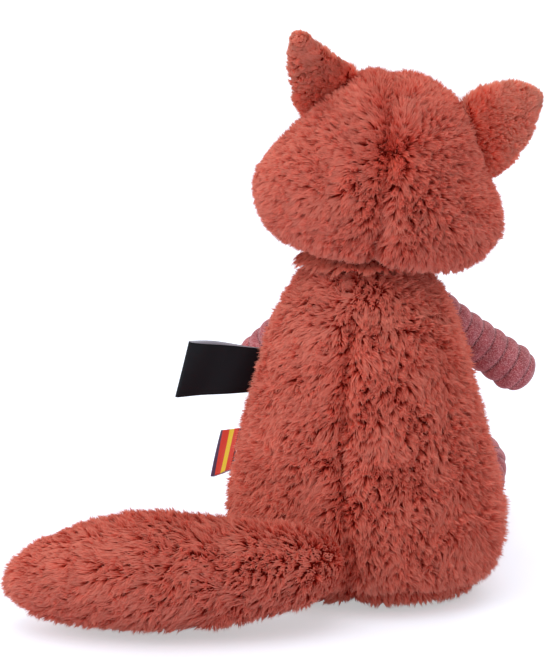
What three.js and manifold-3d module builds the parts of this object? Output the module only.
// A seated plush raccoon, sewn from long-pile plush with limbs of ribbed velour. It is stuffed with fibre and
// weighted with a bag of pellets. Millimetres, +Z up. The face looks along -Y and the toy's own left is +X.
// The origin is the middle of the flat base that it sits on.

import * as THREE from "three";
import { mergeVertices } from "three/addons/utils/BufferGeometryUtils.js";
import Module from "manifold-3d";

const wasm = await Module();
wasm.setup();

// fabric and clearances
const pileWall = 6; // long-pile plush, backing and pressed pile
const cordWall = 2.6; // ribbed velour over its backing, without the ribs
const walePitch = 9; // one rib of the velour to the next
const waleDepth = 1.5; // from the crest of a rib to its valley
const seamGap = 0.3; // between two panels, and between a cover and its stuffing
const seatGap = 0.3; // between a sewn-on piece and what carries it
const swingGap = 0.4; // between a limb's round root and the dimple that it turns in

// torso
const torsoHeight = 185;
const torsoWidth = 148;
const backDepth = 58; // from the side seams to the back
const bellyDepth = 64; // from the side seams to the belly
const baseSeamHeight = 8;
const backSeamBow = 8; // how far the back seam wanders over to the left
const bibWidth = 84; // the belly panel at its widest
const bibTopWidth = 34;
const bibWidestHeight = 58;
const bibTopHeight = 136;
const bibFootShare = 0.82; // of its widest, at the base seam
const bibShoulderShare = 0.8; // of its height, where its sides curve in
const neckOpening = 40; // across the sewn-open neck
const torsoRoundShare = 0.889; // 1 is a true ellipse, and less is squarer at its corners

// neck
const neckRadius = 44; // the round top that the head turns on
const neckSink = 35; // from the torso's own top down to the middle of that round
const ringWall = 3; // the folded seam ring between torso and head
const ringDrop = 16; // how far the ring reaches down the round
const headTurn = 7; // degrees, how the head is turned at rest
const headLean = 10; // degrees, how it leans to the right at rest
const headShift = 5.5; // it sits this far to the left on the neck

// head
const headSeat = 30.5; // from the neck's middle up to the head's underside
const headHeight = 101;
const headWidth = 134;
const headBackDepth = 50;
const headFaceDepth = 50;
const crownLean = 9; // degrees, how much further the crown leans than the cheeks
const napeSeamShift = 2; // the head's back seam, this far to the left at the nape
const crownSeamShift = 9; // and at the crown

// face
const muzzleWidth = 56;
const muzzleHeight = 42;
const muzzleReach = 26; // in front of the face
const muzzleRise = 30; // above the head's underside
const muzzleRoot = 16; // how far inside the face its form begins
const noseWidth = 19;
const noseHeight = 13;
const noseReach = 9;
const noseInset = 5.5; // the nose's middle lies this far inside the muzzle's tip
const noseLift = 3; // and this far above the muzzle's middle
const eyeRadius = 5.5;
const eyeDome = 4.2;
const eyeSpacing = 54;
const eyeRise = 53; // above the head's underside
const stemRadius = 1.8;
const stemLength = 11;
const washerRadius = 7;
const washerWall = 1.4;
const washerDip = 2; // the flat washer's middle lies this far behind the curved fabric
const washerClearance = 0.3; // around the stem and between washer and fabric
const maskWidth = 40;
const maskHeight = 27;
const maskDroop = 22; // degrees, the mask's outer end hangs down
const maskPileDrop = 2.4; // the mask's short pile lies this far below the fur
const maskOffset = 4; // the mask's middle lies this far outside the eye
const maskLower = 2; // and this far below it
const maskBackShare = 0.35; // of the face's depth, where the cut for the mask starts

// ears
const rightEarWidth = 47;
const leftEarWidth = 37;
const earHeight = 45;
const earThickness = 13;
const rightEarTipDrift = 6; // the tip stands this far towards the crown
const leftEarTipDrift = 15;
const rightEarPerchShare = 0.77; // up the head's height
const leftEarPerchShare = 0.78;
const earStand = 0.5; // how far the hinge line stands off the head
const earSetBack = 4; // the ears stand this far behind the side seam
const rightEarYaw = 30; // degrees, its front faces this far outwards
const leftEarYaw = 22;
const leftEarTwist = 20; // degrees, the left ear's tip is curled outwards by this much more
const leftEarFold = 46; // degrees, the left ear is folded backwards at rest
const earSwingGap = 0.7; // round the ear's rounded base
const liningMargin = 5; // fur left round the ear's lining
const liningWall = 2.2;
const liningDepth = 2.2; // it lies this far in front of the ear's middle
const liningFoot = 8; // its lower edge above the hinge line
const liningReachShare = 0.74; // of the ear's height

// arms
const armLength = 71; // from the shoulder to the paw's end
const armRootRadius = 12;
const pawRadius = 13.5;
const armStandShare = 0.76; // how far its root's middle stands off the torso, of the root's radius
const armDipShare = 0.02; // how far the arm's middle hangs below the straight line, of its length
const armLiftShare = 0.06; // and how far the paw is bent up
const shoulderHeight = 145;
const shoulderAngle = -56; // degrees from straight sideways, towards the belly
// How the arms hang: out to the side, to the front and down, as shares of their length.
const rightReachShares = [0.7, 0.34, 0.62];
const leftReachShares = [0.58, 0.43, 0.69];

// legs
const legLength = 112; // from the hip to the heel
const footHeight = 50;
const legRootRadius = 20;
const legRadius = 22.5;
const legStandShare = 0.5;
const toeShare = 0.9; // length of the foot's rounded end, of the leg's radius
const footBend = 27; // radius of the ankle's curve
const hipHeight = 24;
const hipAngle = -57; // degrees from straight sideways, towards the belly
const legSplay = 2.5; // degrees, the feet point outwards

// tail
const tailRootRadius = 22;
const tailRadius = 32.5;
const tailStandShare = 0.62;
const tailHeight = 35; // its root above the floor
const tailTipHeight = 22;
const tailAngle = 77; // degrees from the left side, where its root is sewn on
const tailSide = 156; // the tip from the root, out to the left
const tailBack = 18; // how far the tail's bow swings out behind its root
const tailTipLength = 84; // the tapered end

// sewn-in labels, both blank
const labelLength = 40;
const labelHeight = 31;
const labelSeamHeight = 25; // where the seam gathers it
const labelLayer = 0.45;
const labelLoft = 1.3; // between the two layers at the open part of the fold
const labelRise = 119;
const labelSwing = 22; // degrees, it points this far towards the back
const labelDrop = 6.5; // its free end hangs this much lower
const ribbonLength = 26;
const ribbonHeight = 27;
const ribbonSeamHeight = 24;
const ribbonRise = 75;
const ribbonSwing = -66; // degrees, it points towards the belly
const ribbonDrop = 12;
const tapeSewnShare = 0.2; // of a label's length, where its layers are stitched together
const tapeStand = 1.1; // clear of the rounded side, so that the label can flap

// pellet bag
const bagRadius = 36;
const bagThickness = 17;
const bagFullShare = 0.55; // 0 is a flat tin, 1 an even ball

// fineness
const torsoMesh = { sides: 22, steps: 9 };
const torsoInnerMesh = { sides: 12, steps: 6 };
const headMesh = { sides: 20, steps: 9 };
const headInnerMesh = { sides: 12, steps: 6 };
const limbSides = 8;
const earSides = 10;
const fibreSides = 6;
const tailSides = 12;
const roundSides = 20;
const dimpleSides = 14;
const smallSides = 12;
const weldDistance = 1e-4;
const plainLimbSteps = 6;
const rootSteps = 4; // rings of a limb's round root
const lastRingShare = 0.96; // of a plain limb's length, so that its end is round
const maskCurveSteps = 7;
const bulgeSteps = 8;

const openRootShare = 0.55; // of a limb's root, the opening where it is sewn on
const overrun = 60; // how far a cutting body reaches past what it cuts

// Outlines. Each row is one height of the shape, as shares of its own named sizes.
const torsoOutlineShares = [
  // height, width, back, belly
  [0.0, 0.77, 0.7, 0.74],
  [0.045, 0.93, 0.92, 0.9],
  [0.15, 1.0, 1.0, 0.98],
  [0.28, 0.98, 0.98, 1.0],
  [0.45, 0.9, 0.93, 0.96],
  [0.6, 0.8, 0.87, 0.86],
  [0.75, 0.7, 0.8, 0.76],
  [0.88, 0.59, 0.7, 0.66],
  [0.96, 0.42, 0.5, 0.46],
  [1.0, 0.0, 0.0, 0.0],
];
const headOutlineShares = [
  // height, width, back, face
  [0.0, 0.56, 0.72, 0.7],
  [0.06, 0.79, 0.88, 0.84],
  [0.14, 0.92, 0.96, 0.93],
  [0.27, 1.0, 1.0, 1.0],
  [0.4, 0.95, 1.0, 1.0],
  [0.56, 0.77, 0.96, 0.92],
  [0.74, 0.63, 0.86, 0.8],
  [0.87, 0.48, 0.68, 0.62],
  [0.96, 0.28, 0.4, 0.36],
  [1.0, 0.0, 0.0, 0.0],
];
const earOutlineShares = [
  // height, width, thickness, drift of the middle
  [0.0, 1.0, 1.0, 0.0],
  [0.22, 1.0, 0.98, 0.1],
  [0.44, 0.88, 0.9, 0.3],
  [0.65, 0.68, 0.78, 0.55],
  [0.83, 0.42, 0.62, 0.8],
  [0.95, 0.2, 0.42, 0.95],
  [1.0, 0.0, 0.0, 1.0],
];
// The left ear is crumpled, so that it stands slimmer.
const leftEarOutlineShares = [
  [0.0, 1.0, 1.0, 0.0],
  [0.2, 0.88, 0.98, 0.06],
  [0.38, 0.72, 0.9, 0.2],
  [0.6, 0.52, 0.78, 0.46],
  [0.8, 0.3, 0.62, 0.76],
  [0.93, 0.17, 0.42, 0.94],
  [1.0, 0.0, 0.0, 1.0],
];
const muzzleOutlineShares = [
  // reach, width, height, droop
  [0.0, 1.0, 1.0, 0.0],
  [0.45, 0.96, 0.95, 0.02],
  [0.7, 0.84, 0.82, 0.05],
  [0.88, 0.62, 0.6, 0.08],
  [0.97, 0.34, 0.33, 0.1],
  [1.0, 0.0, 0.0, 0.11],
];
const armGirthShares = [1.0, 1.02, 1.06, 1.12, 1.16, 1.17]; // of the root, from shoulder to paw
const legGirthShares = [1.0, 1.0, 1.01, 1.03, 1.07, 1.12, 1.1];
const tailGirthShares = [0.0, 0.2, 0.5, 0.8, 0.97, 1.0, 1.0, 0.98, 0.92]; // from root radius to full radius
const tailSpineShares = [
  // side, back, fall from the root to the tip
  [0.0, 0.0, 0.0],
  [0.09, 0.5, 0.02],
  [0.32, 0.9, 0.1],
  [0.58, 1.0, 0.22],
  [0.8, 0.92, 0.5],
  [1.0, 0.74, 1.0],
];

// materials
const cloth = (color, roughness) => new THREE.MeshStandardMaterial({ color, roughness, metalness: 0 });
const furCloth = cloth("#b5503f", 0.95);
const velourCloth = cloth("#a85f63", 0.85);
const creamCloth = cloth("#e3cdbb", 0.9);
const maskCloth = cloth("#6d3a3c", 0.9);
const stuffingFibre = cloth("#efece4", 1);
const bagCloth = cloth("#d9d2c4", 0.95);
const satinLabel = cloth("#12131a", 0.6);
const ribbonCloth = cloth("#b3261c", 0.55);
const hardPlastic = cloth("#0c0b0d", 0.15);
const washerPlastic = cloth("#e8e8e4", 0.4);

// small helpers
const degrees = THREE.MathUtils.degToRad;
const signedPower = (value, power) => Math.sign(value) * Math.abs(value) ** power;
const vector = (x, y, z) => new THREE.Vector3(x, y, z);
const averageOf = (points) =>
  points.reduce((sum, point) => sum.add(point), vector(0, 0, 0)).divideScalar(points.length);

// The signed volume of a triangle mesh, negative where its faces point inwards.
function signedVolume(points, faces) {
  let volume = 0;
  for (const [a, b, c] of faces) {
    volume += points[a].dot(vector(0, 0, 0).crossVectors(points[b], points[c]));
  }
  return volume;
}

// A closed skin over rings of points. The first and last rings shrink to their middle points.
function skinOver(rings) {
  const body = rings.slice(1, -1);
  const sides = body[0].length;
  const points = body.flat();
  const start = points.push(averageOf(rings[0])) - 1;
  const end = points.push(averageOf(rings.at(-1))) - 1;
  const faces = [];
  for (let side = 0; side < sides; side += 1) {
    const next = (side + 1) % sides;
    for (let row = 0; row + 1 < body.length; row += 1) {
      const low = row * sides;
      const high = low + sides;
      faces.push([low + side, low + next, high + next], [low + side, high + next, high + side]);
    }
    const top = (body.length - 1) * sides;
    faces.push([start, next, side], [end, top + side, top + next]);
  }
  if (signedVolume(points, faces) < 0) faces.forEach((face) => face.reverse());
  const geometry = new THREE.BufferGeometry();
  geometry.setAttribute("position", new THREE.Float32BufferAttribute(points.flatMap((p) => p.toArray()), 3));
  geometry.setIndex(faces.flat());
  return geometry;
}

// A solid that can be joined and cut, from a closed geometry.
function solidOf(geometry) {
  const bare = geometry.clone();
  bare.deleteAttribute("normal");
  bare.deleteAttribute("uv");
  const merged = mergeVertices(bare, weldDistance);
  return new wasm.Manifold(
    new wasm.Mesh({
      numProp: 3,
      vertProperties: new Float32Array(merged.attributes.position.array),
      triVerts: new Uint32Array(merged.index.array),
    }),
  );
}

// The largest single body of a solid, without slivers that a cut may leave.
function mainBody(solid) {
  return solid.decompose().reduce((best, body) => (body.volume() > best.volume() ? body : best));
}

function geometryOf(solid) {
  const { numProp, vertProperties, triVerts } = solid.getMesh();
  const places = [];
  for (let i = 0; i < vertProperties.length; i += numProp) {
    places.push(vertProperties[i], vertProperties[i + 1], vertProperties[i + 2]);
  }
  const geometry = new THREE.BufferGeometry();
  geometry.setAttribute("position", new THREE.Float32BufferAttribute(places, 3));
  geometry.setIndex([...triVerts]);
  return geometry;
}

function piece(name, solid, material) {
  const mesh = new THREE.Mesh(geometryOf(mainBody(solid)), material);
  mesh.name = name;
  return mesh;
}

const ball = (radius, sides = roundSides) => new THREE.SphereGeometry(radius, sides, sides / 2);
// A faceted hollow whose flats, not its corners, have the radius, so that a ball of that radius turns in it.
const hollowBall = (radius, sides = roundSides) => ball(radius / Math.cos(Math.PI / sides) ** 2, sides);
const block = (x, y, z) => new THREE.BoxGeometry(x, y, z);
// A round bar along Y.
const bar = (radius, length) => new THREE.CylinderGeometry(radius, radius, length, smallSides);
// A turned form about Y, from rows of radius and height.
const lathe = (rows, sides = smallSides) =>
  new THREE.LatheGeometry(rows.map(([radius, height]) => new THREE.Vector2(radius, height)), sides);
const less = (solid, ...cutters) => cutters.reduce((left, cutter) => left.subtract(cutter), solid);

// A smooth outline through rows of shares: four named sizes at any step from 0 to 1.
function outline(rows) {
  const curveThrough = (toPoint) => new THREE.CatmullRomCurve3(rows.map(toPoint));
  const widths = curveThrough(([height, width, back]) => vector(height, width, back));
  const fronts = curveThrough(([height, , , front]) => vector(height, front, 0));
  return (step) => {
    const a = widths.getPoint(step);
    const b = fronts.getPoint(step);
    return { height: a.x, width: Math.max(a.y, 0), back: Math.max(a.z, 0), front: Math.max(b.y, 0) };
  };
}

// The step of an outline at which it has a given share of its height.
function stepAtHeight(shape, heightShare) {
  let low = 0;
  let high = 1;
  for (let i = 0; i < 40; i += 1) {
    const middle = (low + high) / 2;
    if (shape(middle).height < heightShare) low = middle;
    else high = middle;
  }
  return low;
}

const range = (count) => Array.from({ length: count }, (_, i) => i);
const evenSteps = (count) => range(count + 1).map((i) => i / count);
const around = (sides, make) => range(sides).map((i) => make((2 * Math.PI * i) / sides));

// torso
const torsoOutline = outline(torsoOutlineShares);

// A point of the torso's surface, drawn in by inset all round.
function torsoPoint(step, angle, inset) {
  const { height, width, back, front } = torsoOutline(step);
  const depth = Math.sin(angle) > 0 ? (backDepth - inset) * back : (bellyDepth - inset) * front;
  return vector(
    (torsoWidth / 2 - inset) * width * signedPower(Math.cos(angle), torsoRoundShare),
    depth * signedPower(Math.sin(angle), torsoRoundShare),
    inset + (torsoHeight - 2 * inset) * height,
  );
}

const neckMiddle = vector(0, 0, torsoHeight - neckSink);
const sphereAt = (centre, radius, sides) => solidOf(ball(radius, sides)).translate(centre.toArray());
const dimpleAt = (centre, radius) => solidOf(hollowBall(radius, dimpleSides)).translate(centre.toArray());

// The torso's whole form, drawn in by inset, with the round top that carries the head.
function torsoForm(inset) {
  const mesh = inset > 0 ? torsoInnerMesh : torsoMesh;
  const steps = [0, ...evenSteps(mesh.steps)];
  const rings = steps.map((step) => around(mesh.sides, (angle) => torsoPoint(step, angle, inset)));
  const dome = sphereAt(neckMiddle, neckRadius - inset, inset > 0 ? torsoInnerMesh.sides : roundSides);
  return solidOf(skinOver(rings)).add(dome);
}

// The belly's velour stands lower than the fur and is ribbed across.
function bellyForm() {
  const inset = pileWall - cordWall - waleDepth;
  const ribs = Math.round(torsoHeight / walePitch);
  const steps = [0];
  for (const rib of range(ribs)) steps.push(rib / ribs, (rib + 0.5) / ribs);
  const rings = [...steps, 1].map((share, i) => {
    const step = stepAtHeight(torsoOutline, share);
    const valley = i % 2 ? waleDepth : 0;
    return around(torsoMesh.sides, (angle) => torsoPoint(step, angle, inset + valley));
  });
  return solidOf(skinOver(rings));
}

// A flat outline in X and Z, pushed through from one depth to another.
function slab(shape, fromY, toY, curveSteps = 6) {
  const geometry = new THREE.ExtrudeGeometry(shape, {
    depth: toY - fromY,
    bevelEnabled: false,
    curveSegments: curveSteps,
  });
  geometry.rotateX(Math.PI / 2);
  geometry.translate(0, toY, 0);
  return solidOf(geometry);
}

// One side of the back seam, out to a far edge.
function besideBackSeam(side) {
  const shape = new THREE.Shape();
  const far = side * (torsoWidth + overrun);
  const edge = (side * seamGap) / 2;
  shape.moveTo(far, -overrun);
  shape.lineTo(edge, -overrun);
  shape.lineTo(edge, 0);
  const bow = edge + backSeamBow;
  shape.bezierCurveTo(bow, torsoHeight / 3, bow, torsoHeight / 2, edge, torsoHeight);
  shape.lineTo(edge, torsoHeight + overrun);
  shape.lineTo(far, torsoHeight + overrun);
  return shape;
}

// The belly panel's outline: a bib, widest over the belly and narrow at the neck.
function bibShape(grow) {
  const widest = bibWidth / 2 + grow;
  const top = bibTopWidth / 2 + grow;
  const shape = new THREE.Shape();
  shape.moveTo(-widest * bibFootShare, -overrun);
  shape.lineTo(-widest * bibFootShare, 0);
  shape.quadraticCurveTo(-widest, bibWidestHeight / 3, -widest, bibWidestHeight);
  const shoulderLine = bibTopHeight * bibShoulderShare;
  shape.quadraticCurveTo(-widest, shoulderLine, -top, bibTopHeight + grow);
  shape.quadraticCurveTo(0, bibTopHeight + top / 2 + grow, top, bibTopHeight + grow);
  shape.quadraticCurveTo(widest, shoulderLine, widest, bibWidestHeight);
  shape.quadraticCurveTo(widest, bibWidestHeight / 3, widest * bibFootShare, 0);
  shape.lineTo(widest * bibFootShare, -overrun);
  return shape;
}

// The outward place on the torso at a height and an angle, for what is sewn on there.
function torsoSeat(height, angle) {
  const step = stepAtHeight(torsoOutline, height / torsoHeight);
  const place = torsoPoint(step, angle, 0);
  const beside = torsoPoint(step, angle + degrees(1), 0).sub(torsoPoint(step, angle - degrees(1), 0));
  const outward = vector(beside.y, -beside.x, 0).normalize();
  return { place, outward };
}

// Each limb's joint stands off the torso by a share of its root's radius, so that the root sits in a dimple.
function limbJoint(height, angle, rootRadius, standShare) {
  const { place, outward } = torsoSeat(height, angle);
  return place.addScaledVector(outward, rootRadius * standShare);
}
const mirrored = (point, side) => vector(point.x * side, point.y, point.z);
const shoulder = limbJoint(shoulderHeight, degrees(shoulderAngle), armRootRadius, armStandShare);
const hip = limbJoint(hipHeight, degrees(hipAngle), legRootRadius, legStandShare);
const tailRoot = limbJoint(tailHeight, degrees(tailAngle), tailRootRadius, tailStandShare);

const limbDimples = [
  ...[1, -1].map((side) => dimpleAt(mirrored(shoulder, side), armRootRadius + swingGap)),
  ...[1, -1].map((side) => dimpleAt(mirrored(hip, side), legRootRadius + swingGap)),
  dimpleAt(tailRoot, tailRootRadius + swingGap),
];

const wide = 2 * (torsoWidth + overrun);
const tall = 2 * (torsoHeight + overrun);
const aboveHeight = (height) => solidOf(block(wide, wide, tall)).translate([0, 0, height + tall / 2]);
const belowHeight = (height) => solidOf(block(wide, wide, tall)).translate([0, 0, height - tall / 2]);
const neckHole = solidOf(bar(neckOpening / 2, neckRadius))
  .rotate([90, 0, 0])
  .translate([0, 0, neckMiddle.z + neckRadius]);

function torsoPieces() {
  const whole = torsoForm(0);
  const hollow = torsoForm(pileWall);
  const cover = less(whole, hollow, neckHole, ...limbDimples);
  const sides = cover.intersect(aboveHeight(baseSeamHeight + seamGap / 2));
  const far = backDepth + bellyDepth + overrun;
  const quarter = (side, fromY, toY) => slab(besideBackSeam(side), fromY, toY);
  const bib = slab(bibShape(0), -far, -seamGap);
  const bibHole = slab(bibShape(seamGap), -far, -seamGap);
  const stuffing = less(torsoForm(pileWall + seamGap), pelletBag(seatGap), bagMouth(), ...limbDimples);
  return [
    piece("torso_back_left", sides.intersect(quarter(1, seamGap / 2, far)), furCloth),
    piece("torso_back_right", sides.intersect(quarter(-1, seamGap / 2, far)), furCloth),
    piece("torso_front_left", less(sides.intersect(quarter(1, -far, -seamGap / 2)), bibHole), furCloth),
    piece("torso_front_right", less(sides.intersect(quarter(-1, -far, -seamGap / 2)), bibHole), furCloth),
    piece("belly_panel", bellyPanel(hollow, bib), velourCloth),
    piece("base_panel", cover.intersect(belowHeight(baseSeamHeight - seamGap / 2)), furCloth),
    piece("torso_stuffing", stuffing, stuffingFibre),
    piece("pellet_bag", pelletBag(0), bagCloth),
  ];
}

function bellyPanel(hollow, bib) {
  const underHead = sphereAt(neckMiddle, neckRadius + swingGap);
  const panel = less(bellyForm(), hollow, underHead, neckHole, ...limbDimples);
  return panel.intersect(bib).intersect(aboveHeight(baseSeamHeight + seamGap / 2));
}

// The pellet bag, a pillow that is fullest in the middle. It lies on the base panel.
function pelletBag(grow) {
  const profile = evenSteps(bulgeSteps).map((step) => {
    const angle = Math.PI * (step - 1 / 2);
    const end = step === 0 || step === 1;
    const radius = end ? 0 : (bagRadius + grow) * Math.cos(angle) ** bagFullShare;
    return [radius, (bagThickness / 2 + grow) * Math.sin(angle)];
  });
  return solidOf(lathe(profile)).rotate([90, 0, 0]).translate([0, 0, pileWall + seamGap + bagThickness / 2]);
}

// The opening under the bag, so that its hollow in the stuffing is not closed.
function bagMouth() {
  const height = pileWall + seamGap + bagThickness;
  return solidOf(bar(bagRadius / 2, height)).rotate([90, 0, 0]).translate([0, 0, height / 2]);
}

// neck
const ringRadius = neckRadius + ringWall + swingGap;

// The seam ring is part of a round shell between the torso's top and the head's socket.
function neckRing() {
  const shell = solidOf(ball(ringRadius)).subtract(solidOf(hollowBall(neckRadius + swingGap)));
  const opening = solidOf(bar(neckOpening / 2, 2 * ringRadius + overrun)).rotate([90, 0, 0]);
  const band = aboveHeight(ringRadius - ringDrop);
  return piece("neck_ring", shell.intersect(band).subtract(opening), furCloth);
}

// head
// The head is drawn about the neck's middle, upright and facing -Y, with its crown bent over to the right.
const headOutline = outline(headOutlineShares);
const crownBend = degrees(crownLean);

// Carries a place of the upright head to its place on the leaning one.
function leaning(place) {
  const share = (place.z - headSeat) / headHeight;
  const angle = crownBend * share;
  const bow = headHeight / crownBend;
  return vector(
    place.x * Math.cos(angle) - bow * (1 - Math.cos(angle)),
    place.y,
    headSeat + bow * Math.sin(angle) + place.x * Math.sin(angle),
  );
}

function headPoint(step, angle, inset) {
  const { height, width, back, front } = headOutline(step);
  const depth = Math.sin(angle) > 0 ? (headBackDepth - inset) * back : (headFaceDepth - inset) * front;
  return leaning(
    vector(
      headShift + (headWidth / 2 - inset) * width * Math.cos(angle),
      depth * Math.sin(angle),
      headSeat + inset + (headHeight - 2 * inset) * height,
    ),
  );
}

function headForm(inset) {
  const mesh = inset >= pileWall ? headInnerMesh : headMesh;
  const steps = [0, ...evenSteps(mesh.steps)];
  const rings = steps.map((step) => around(mesh.sides, (angle) => headPoint(step, angle, inset)));
  return solidOf(skinOver(rings));
}

// A place on the face at a height above the underside and a distance to the side, and the way it faces.
function faceSeat(rise, aside) {
  const step = stepAtHeight(headOutline, rise / headHeight);
  const { width } = headOutline(step);
  const angle = -Math.acos(aside / ((headWidth / 2) * width));
  const place = headPoint(step, angle, 0);
  const along = headPoint(step, angle + degrees(2), 0).sub(headPoint(step, angle - degrees(2), 0));
  const up = headPoint(step + 0.01, angle, 0).sub(headPoint(step - 0.01, angle, 0));
  const outward = vector(0, 0, 0).crossVectors(along, up).normalize();
  if (outward.y > 0) outward.negate();
  return { place, outward };
}

// The turn that points a piece's own +Y along a direction.
const pointing = (direction) => new THREE.Quaternion().setFromUnitVectors(vector(0, 1, 0), direction);

function placed(geometry, place, turn) {
  return geometry.applyQuaternion(turn).translate(place.x, place.y, place.z);
}

const eyeSeat = seatGap - maskPileDrop;

// An eye is one moulding: a dome outside the fabric and a stem through it. +Y is outwards.
function eyeGeometry() {
  const dome = range(6).map((i) => {
    const angle = (Math.PI / 2) * (i / 5);
    return [eyeRadius * Math.cos(angle), eyeSeat + eyeDome * Math.sin(angle)];
  });
  dome[5][0] = 0;
  return lathe([[0, -stemLength], [stemRadius, -stemLength], [stemRadius, eyeSeat], ...dome]);
}

// The washer locks the stem behind the fabric.
function washerGeometry() {
  const inner = stemRadius + washerClearance;
  const front = -pileWall - washerDip;
  return lathe([
    [inner, front - washerWall], [washerRadius, front - washerWall],
    [washerRadius, front], [inner, front], [inner, front - washerWall],
  ]);
}

const earWidth = (side) => (side > 0 ? leftEarWidth : rightEarWidth);

function earHinge(side) {
  const step = stepAtHeight(headOutline, side > 0 ? leftEarPerchShare : rightEarPerchShare);
  const sideAngle = side > 0 ? 0 : Math.PI;
  const place = headPoint(step, sideAngle, 0);
  const up = headPoint(step + 0.02, sideAngle, 0).sub(headPoint(step - 0.02, sideAngle, 0)).normalize();
  const outward = vector(up.z * side, 0, -up.x * side);
  place.addScaledVector(outward, earStand);
  place.y += earSetBack;
  return { place, up, outward };
}

// The ear's own frame: X along its base towards the toy's left, -Y its front, Z from base to tip.
function earMatrix(side) {
  const { place, up, outward } = earHinge(side);
  const along = up.multiplyScalar(-side);
  const through = vector(0, 0, 0).crossVectors(outward, along);
  const yaw = new THREE.Matrix4().makeRotationZ(-side * degrees(side > 0 ? leftEarYaw : rightEarYaw));
  return yaw.multiply(new THREE.Matrix4().makeBasis(along, through, outward)).setPosition(place);
}

// The seat that an ear's rounded base turns in: a spindle about the hinge line.
function earSeat(side) {
  const half = earThickness / 2 + earSwingGap;
  const geometry = hollowBall(1, dimpleSides);
  geometry.rotateZ(Math.PI / 2);
  geometry.scale(earWidth(side) / 2 + earSwingGap, half, half);
  return solidOf(geometry.applyMatrix4(earMatrix(side)));
}

const earRows = (side) => (side > 0 ? leftEarOutlineShares : earOutlineShares);

function earForm(inset, side) {
  const shape = outline(earRows(side));
  const twist = side > 0 ? -degrees(leftEarTwist) : 0;
  const tipDrift = side > 0 ? -leftEarTipDrift : rightEarTipDrift;
  const halfWidth = earWidth(side) / 2 - inset;
  const halfThickness = earThickness / 2 - inset;
  const ring = (height, width, thickness, drift) => {
    const turn = twist * Math.max(0, height / earHeight);
    return around(earSides, (angle) => {
      const x = halfWidth * width * Math.cos(angle);
      const y = halfThickness * thickness * Math.sin(angle);
      return vector(drift + x, y, height).applyAxisAngle(vector(0, 0, 1), turn);
    });
  };
  const base = [-1, -0.9, -0.65, -0.35].map((depth) => {
    const size = Math.sqrt(1 - depth * depth);
    return ring(halfThickness * depth, size, size, 0);
  });
  const blade = evenSteps(8).map((step) => {
    const { height, width, back, front } = shape(step);
    return ring((earHeight - inset) * height, width, back, tipDrift * front);
  });
  return solidOf(skinOver([...base, ...blade]));
}

// The front of the ear, cut back for a lining of short-pile velour. -Y is the ear's front.
function earPieces(side) {
  const label = side > 0 ? "left" : "right";
  const whole = earForm(0, side);
  const window = (grow) => {
    const rows = earRows(side).map(([height, width, , drift]) => ({
      middle: (side > 0 ? -leftEarTipDrift : rightEarTipDrift) * drift,
      half: (earWidth(side) / 2 - liningMargin) * width + grow,
      up: liningFoot + height * earHeight * liningReachShare + grow * (2 * height - 1),
    }));
    const left = rows.map(({ middle, half, up }) => new THREE.Vector2(middle - half, up));
    const right = rows.map(({ middle, half, up }) => new THREE.Vector2(middle + half, up));
    return slab(new THREE.Shape([...left, ...right.reverse()]), -earThickness, -liningDepth + grow);
  };
  const beyondLining = solidOf(block(2 * overrun, earThickness, 2 * overrun + earHeight)).translate([
    0, -liningDepth - liningWall - earThickness / 2, earHeight / 2,
  ]);
  const lining = whole.intersect(window(0)).subtract(beyondLining);
  const ear = new THREE.Group();
  ear.add(piece(`ear_fur_${label}`, whole.subtract(window(seamGap)), furCloth));
  ear.add(piece(`ear_lining_${label}`, lining, velourCloth));
  const fold = side > 0 ? leftEarFold : 0;
  const matrix = earMatrix(side).multiply(new THREE.Matrix4().makeRotationX(-degrees(fold)));
  matrix.decompose(ear.position, ear.quaternion, ear.scale);
  return ear;
}

// The muzzle is a stuffed dome sewn on the face, drooping a little towards its nose.
function muzzleForm(inset) {
  const shape = outline(muzzleOutlineShares);
  const { place } = faceSeat(muzzleRise, 0);
  const length = muzzleRoot + muzzleReach - inset;
  const rings = [0, ...evenSteps(8)].map((step) => {
    const { height: reach, width, back: tallness, front: droop } = shape(step);
    return around(smallSides, (angle) =>
      vector(
        place.x + (muzzleWidth / 2 - inset) * width * Math.cos(angle),
        place.y + muzzleRoot - length * reach,
        place.z + (muzzleHeight / 2 - inset) * tallness * Math.sin(angle) - muzzleHeight * droop,
      ));
  });
  return solidOf(skinOver(rings));
}

function noseForm() {
  const { place } = faceSeat(muzzleRise, 0);
  const geometry = ball(1, smallSides);
  geometry.scale(noseWidth / 2, noseReach, noseHeight / 2);
  geometry.translate(place.x, place.y - muzzleReach + noseInset, place.z + noseLift);
  return solidOf(geometry);
}

// The raccoon mask: a slanted oval round each eye.
function maskShape(side, grow) {
  const { place } = faceSeat(eyeRise, (side * eyeSpacing) / 2);
  const shape = new THREE.Shape();
  shape.absellipse(
    place.x + side * maskOffset, place.z - maskLower,
    maskWidth / 2 + grow, maskHeight / 2 + grow,
    0, 2 * Math.PI, false, -side * degrees(maskDroop),
  );
  return shape;
}

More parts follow.
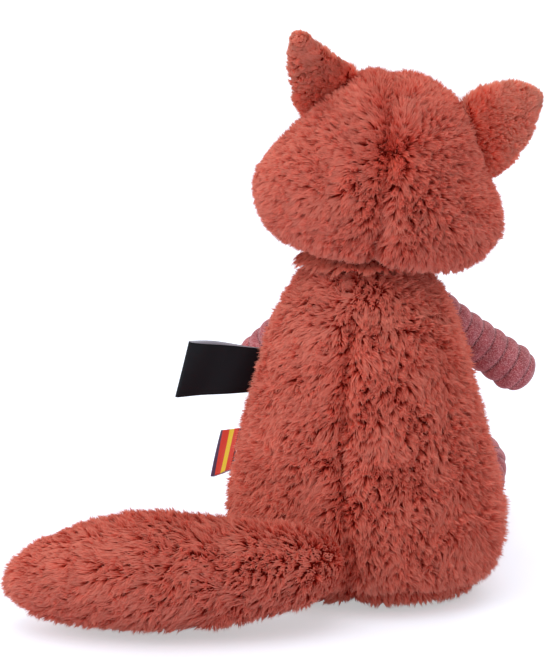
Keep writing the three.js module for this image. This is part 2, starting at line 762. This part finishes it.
function headPieces() {
  const far = headBackDepth + headFaceDepth + overrun;
  const earSeats = [1, -1].map(earSeat);
  const socket = solidOf(hollowBall(ringRadius + swingGap));
  const whole = headForm(0);
  const hollow = headForm(pileWall);
  const eyes = [1, -1].map((side) => faceSeat(eyeRise, (side * eyeSpacing) / 2));
  const stemHoles = eyes.map(({ place, outward }) =>
    solidOf(placed(bar(stemRadius + washerClearance, 2 * stemLength), place, pointing(outward))));
  // Room for the washers, from a depth behind the face inwards.
  const washerPockets = (depth) => eyes.map(({ place, outward }) => {
    const pocket = bar(washerRadius + seatGap, stemLength);
    pocket.translate(0, -stemLength / 2 - depth, 0);
    return solidOf(placed(pocket, place, pointing(outward)));
  });
  const washerFronts = washerPockets(pileWall + washerDip - washerClearance);
  const neckMouth = solidOf(bar(neckOpening / 2, 2 * (headSeat + pileWall + neckRadius))).rotate([90, 0, 0]);
  const cover = less(whole, hollow, socket, neckMouth, ...earSeats);
  const half = (fromY, toY) => slab(frameAround(headWidth + overrun), fromY, toY);
  const beside = (side) => slab(halfPlane(side), -far, far);
  const back = cover.intersect(half(seamGap / 2, far));
  const front = cover.intersect(half(-far, -seamGap / 2));
  const masks = [1, -1].map((side) => ({
    side,
    patch: slab(maskShape(side, 0), -far, -headFaceDepth * maskBackShare, maskCurveSteps),
    hole: slab(maskShape(side, seamGap), -far, -headFaceDepth * maskBackShare, maskCurveSteps),
  }));
  const lowPile = less(headForm(maskPileDrop), hollow, ...stemHoles, ...washerFronts);
  const muzzle = muzzleForm(0).subtract(headForm(-seatGap));
  const room = washerPockets(pileWall / 2 + washerDip);
  const stuffing = less(headForm(pileWall + seamGap), socket, ...earSeats, ...room);
  return [
    piece("head_back_left", back.intersect(beside(1)), furCloth),
    piece("head_back_right", back.intersect(beside(-1)), furCloth),
    piece("face_panel", less(front, ...masks.map((m) => m.hole)), furCloth),
    ...masks.map(({ side, patch }) =>
      piece(`mask_${side > 0 ? "left" : "right"}`, lowPile.intersect(patch), maskCloth)),
    piece("muzzle", muzzle, creamCloth),
    piece("nose", noseForm().subtract(muzzleForm(-seatGap)), hardPlastic),
    piece("head_stuffing", stuffing, stuffingFibre),
  ];
}

function halfPlane(side) {
  const shape = new THREE.Shape();
  const low = (side * seamGap) / 2 + napeSeamShift;
  const high = (side * seamGap) / 2 + crownSeamShift;
  const top = headSeat + headHeight;
  const far = side * (headWidth + overrun);
  shape.moveTo(far, -overrun);
  shape.lineTo(low, -overrun);
  shape.lineTo(low, headSeat);
  shape.lineTo(high, top);
  shape.lineTo(high, top + overrun);
  shape.lineTo(far, top + overrun);
  return shape;
}

function frameAround(size) {
  const shape = new THREE.Shape();
  shape.moveTo(-size, -size);
  shape.lineTo(size, -size);
  shape.lineTo(size, size + headHeight);
  shape.lineTo(-size, size + headHeight);
  return shape;
}

function facePlastics() {
  return [1, -1].flatMap((side) => {
    const { place, outward } = faceSeat(eyeRise, (side * eyeSpacing) / 2);
    const label = side > 0 ? "left" : "right";
    return [
      [`eye_${label}`, eyeGeometry(), hardPlastic],
      [`eye_washer_${label}`, washerGeometry(), washerPlastic],
    ].map(([name, geometry, material]) => {
      const mesh = new THREE.Mesh(geometry, material);
      mesh.name = name;
      mesh.position.copy(place);
      mesh.quaternion.copy(pointing(outward));
      return mesh;
    });
  });
}

// limbs
// A smooth value along a limb, through shares spaced evenly from its root to its tip.
function girth(shares) {
  const last = shares.length - 1;
  const curve = new THREE.SplineCurve(shares.map((share, i) => new THREE.Vector2(i / last, share)));
  return (t) => curve.getPoint(t).y;
}

// A stuffed limb's form. Its root is a half ball about the joint, and its end is rounded off.
// radiusAt gives its radius along the spine. Each rib has a valley and a crest.
function limbForm({ spine, across, rootRadius, radiusAt, tipLength, sides, ribs, inset }) {
  const length = spine.getLength();
  const shares = ribs
    ? range(ribs).flatMap((rib) => [rib / ribs, (rib + 0.5) / ribs])
    : [...evenSteps(plainLimbSteps).slice(0, -1), lastRingShare];
  const section = (centre, along, radius) => {
    const second = vector(0, 0, 0).crossVectors(along, across).normalize();
    const first = vector(0, 0, 0).crossVectors(second, along).normalize();
    return around(sides, (angle) =>
      centre
        .clone()
        .addScaledVector(first, radius * Math.cos(angle))
        .addScaledVector(second, radius * Math.sin(angle)));
  };
  const start = spine.getTangentAt(0);
  const root = range(rootSteps).map((i) => {
    const angle = (Math.PI / 2) * (1 - i / rootSteps);
    const radius = rootRadius - inset;
    const centre = spine.getPointAt(0).addScaledVector(start, -radius * Math.sin(angle));
    return section(centre, start, radius * Math.cos(angle));
  });
  const shaft = shares.map((share, i) => {
    const at = share * (1 - inset / length);
    const intoTip = Math.max(0, (at * length - (length - inset - tipLength)) / tipLength);
    const rounding = Math.sqrt(Math.max(0, 1 - intoTip * intoTip));
    const valley = ribs && i % 2 === 0 ? waleDepth : 0;
    const radius = (radiusAt(at) - inset - valley) * rounding;
    return section(spine.getPointAt(at), spine.getTangentAt(at), i === 0 ? rootRadius - inset : radius);
  });
  const end = spine.getPointAt(1 - inset / length);
  return solidOf(skinOver([...root, ...shaft, [end]]));
}

// The cover of a limb and the fibre inside it. The cover is left open where it is sewn to the torso.
function limbPieces(names, form, wall, coverCloth, rootRadius, start) {
  const opening = (radius) =>
    solidOf(placed(bar(radius, 2 * rootRadius), start.clone().multiplyScalar(-rootRadius), pointing(start)));
  const openRadius = rootRadius * openRootShare;
  const bare = { ribs: 0, sides: fibreSides };
  const cover = less(form({}), form({ ...bare, inset: wall }), opening(openRadius));
  const plug = opening(openRadius - seamGap).intersect(solidOf(ball(rootRadius, smallSides)));
  const fibre = form({ ...bare, inset: wall + seamGap }).add(plug);
  return [piece(names[0], cover, coverCloth), piece(names[1], fibre, stuffingFibre)];
}

// Arms: nearly straight, a little bowed to the front.
const armSpine = new THREE.QuadraticBezierCurve3(
  vector(0, 0, 0),
  vector(0, armLength / 2, -armLength * armDipShare),
  vector(0, armLength, armLength * armLiftShare),
);

function arm(side) {
  const label = side > 0 ? "left" : "right";
  const thickness = girth(armGirthShares);
  const fullest = Math.max(...armGirthShares);
  const form = (changes) =>
    limbForm({
      spine: armSpine,
      across: vector(1, 0, 0),
      rootRadius: armRootRadius,
      radiusAt: (t) => armRootRadius + ((pawRadius - armRootRadius) * (thickness(t) - 1)) / (fullest - 1),
      tipLength: pawRadius,
      sides: limbSides,
      ribs: Math.round(armLength / walePitch),
      inset: 0,
      ...changes,
    });
  const wall = cordWall + waleDepth;
  const group = new THREE.Group();
  const names = [`arm_cover_${label}`, `arm_stuffing_${label}`];
  group.add(...limbPieces(names, form, wall, velourCloth, armRootRadius, armSpine.getTangentAt(0)));
  group.position.copy(mirrored(shoulder, side));
  const [out, forward, down] = side > 0 ? leftReachShares : rightReachShares;
  group.quaternion.copy(pointing(vector(side * out, -forward, -down).normalize()));
  return group;
}

// Legs lie on the floor with the foot turned up at the end.
function legSpine(side) {
  const heading = vector(side * Math.sin(degrees(legSplay)), -Math.cos(degrees(legSplay)), 0);
  const straight = legLength - footBend - legRadius;
  const rise = vector(0, 0, legRadius - hip.z);
  const ankle = heading.clone().multiplyScalar(straight).add(rise);
  const corner = heading.clone().multiplyScalar(straight + footBend).add(rise);
  const toe = corner.clone().add(vector(0, 0, footHeight - legRadius));
  const bent = corner.clone().add(vector(0, 0, footBend));
  const path = new THREE.CurvePath();
  const first = heading.clone().multiplyScalar(legRootRadius / 2);
  path.add(new THREE.QuadraticBezierCurve3(vector(0, 0, 0), first, ankle));
  path.add(new THREE.QuadraticBezierCurve3(ankle, corner, bent));
  path.add(new THREE.LineCurve3(bent, toe));
  return { path, heading };
}

function leg(side) {
  const label = side > 0 ? "left" : "right";
  const { path, heading } = legSpine(side);
  const thickness = girth(legGirthShares);
  const fullest = Math.max(...legGirthShares);
  const form = (changes) =>
    limbForm({
      spine: path,
      across: vector(heading.y, -heading.x, 0),
      rootRadius: legRootRadius,
      radiusAt: (t) => legRootRadius + ((legRadius - legRootRadius) * (thickness(t) - 1)) / (fullest - 1),
      tipLength: legRadius * toeShare,
      sides: limbSides,
      ribs: Math.round(path.getLength() / walePitch),
      inset: 0,
      ...changes,
    }).intersect(aboveHeight(-hip.z));
  const wall = cordWall + waleDepth;
  const group = new THREE.Group();
  const names = [`leg_cover_${label}`, `leg_stuffing_${label}`];
  group.add(...limbPieces(names, form, wall, velourCloth, legRootRadius, path.getTangentAt(0)));
  group.position.copy(mirrored(hip, side));
  return group;
}

// tail
function tail() {
  const fall = tailHeight - tailTipHeight;
  const spine = new THREE.CatmullRomCurve3(
    tailSpineShares.map(([side, back, down]) => vector(tailSide * side, tailBack * back, -fall * down)),
  );
  const fullness = girth(tailGirthShares);
  const form = (changes) =>
    limbForm({
      spine,
      across: vector(0, 0, 1),
      rootRadius: tailRootRadius,
      radiusAt: (t) => tailRootRadius + (tailRadius - tailRootRadius) * fullness(t),
      tipLength: tailTipLength,
      sides: tailSides,
      ribs: 0,
      inset: 0,
      ...changes,
    }).intersect(aboveHeight(-tailHeight));
  const group = new THREE.Group();
  const names = ["tail_fur", "tail_stuffing"];
  group.add(...limbPieces(names, form, pileWall, furCloth, tailRootRadius, spine.getTangentAt(0)));
  group.position.copy(tailRoot);
  return group;
}

// labels
// A folded tape, sewn in by its two ends and closed by the fold at its far end. X runs along it, Z up.
function foldedTape(name, length, height, seamHeight, drop, material) {
  const half = labelLoft / 2 + labelLayer;
  const flat = new THREE.Shape();
  flat.moveTo(0, -half / 2);
  flat.lineTo(length - half, -half);
  flat.absarc(length - half, 0, half, -Math.PI / 2, Math.PI / 2, false);
  flat.lineTo(0, half / 2);
  const gap = new THREE.Path();
  gap.moveTo(length * tapeSewnShare, -labelLoft / 4);
  gap.lineTo(length - half, -labelLoft / 2);
  gap.absarc(length - half, 0, labelLoft / 2, -Math.PI / 2, Math.PI / 2, false);
  gap.lineTo(length * tapeSewnShare, labelLoft / 4);
  flat.holes.push(gap);
  const depth = height + 2 * drop;
  const tape = new THREE.ExtrudeGeometry(flat, { depth, bevelEnabled: false, curveSegments: 4 });
  tape.translate(0, 0, -depth / 2);
  const sides = new THREE.Shape();
  sides.moveTo(0, -seamHeight / 2);
  sides.lineTo(length, -height / 2 - drop);
  sides.lineTo(length, height / 2 - drop);
  sides.lineTo(0, seamHeight / 2);
  return piece(name, solidOf(tape).intersect(slab(sides, -labelLoft * 2, labelLoft * 2)), material);
}

// Puts a tape at the left side seam, at a height, swung towards the back.
function sewnIn(tape, rise, swing) {
  const group = new THREE.Group();
  const up = torsoSeat(rise * 1.01, 0).place.sub(torsoSeat(rise * 0.99, 0).place).normalize();
  const outward = vector(up.z, 0, -up.x);
  const seam = new THREE.Matrix4().makeBasis(outward, vector(0, 0, 0).crossVectors(up, outward), up);
  seam.setPosition(torsoSeat(rise, 0).place.addScaledVector(outward, tapeStand));
  seam.multiply(new THREE.Matrix4().makeRotationZ(degrees(swing)));
  seam.decompose(group.position, group.quaternion, group.scale);
  group.add(tape);
  return group;
}

// assembly
const toy = new THREE.Group();
toy.add(...torsoPieces());

const neck = new THREE.Group();
neck.position.copy(neckMiddle);
neck.rotation.z = degrees(headTurn);
neck.add(neckRing());

const head = new THREE.Group();
head.rotation.y = -degrees(headLean);
head.add(...headPieces(), ...facePlastics(), earPieces(1), earPieces(-1));
neck.add(head);

toy.add(neck, arm(1), arm(-1), leg(1), leg(-1), tail());
const labelSizes = [labelLength, labelHeight, labelSeamHeight, labelDrop];
const ribbonSizes = [ribbonLength, ribbonHeight, ribbonSeamHeight, ribbonDrop];
const label = foldedTape("care_label", ...labelSizes, satinLabel);
const ribbon = foldedTape("ribbon_tag", ...ribbonSizes, ribbonCloth);
toy.add(sewnIn(label, labelRise, labelSwing), sewnIn(ribbon, ribbonRise, ribbonSwing));

export default toy;
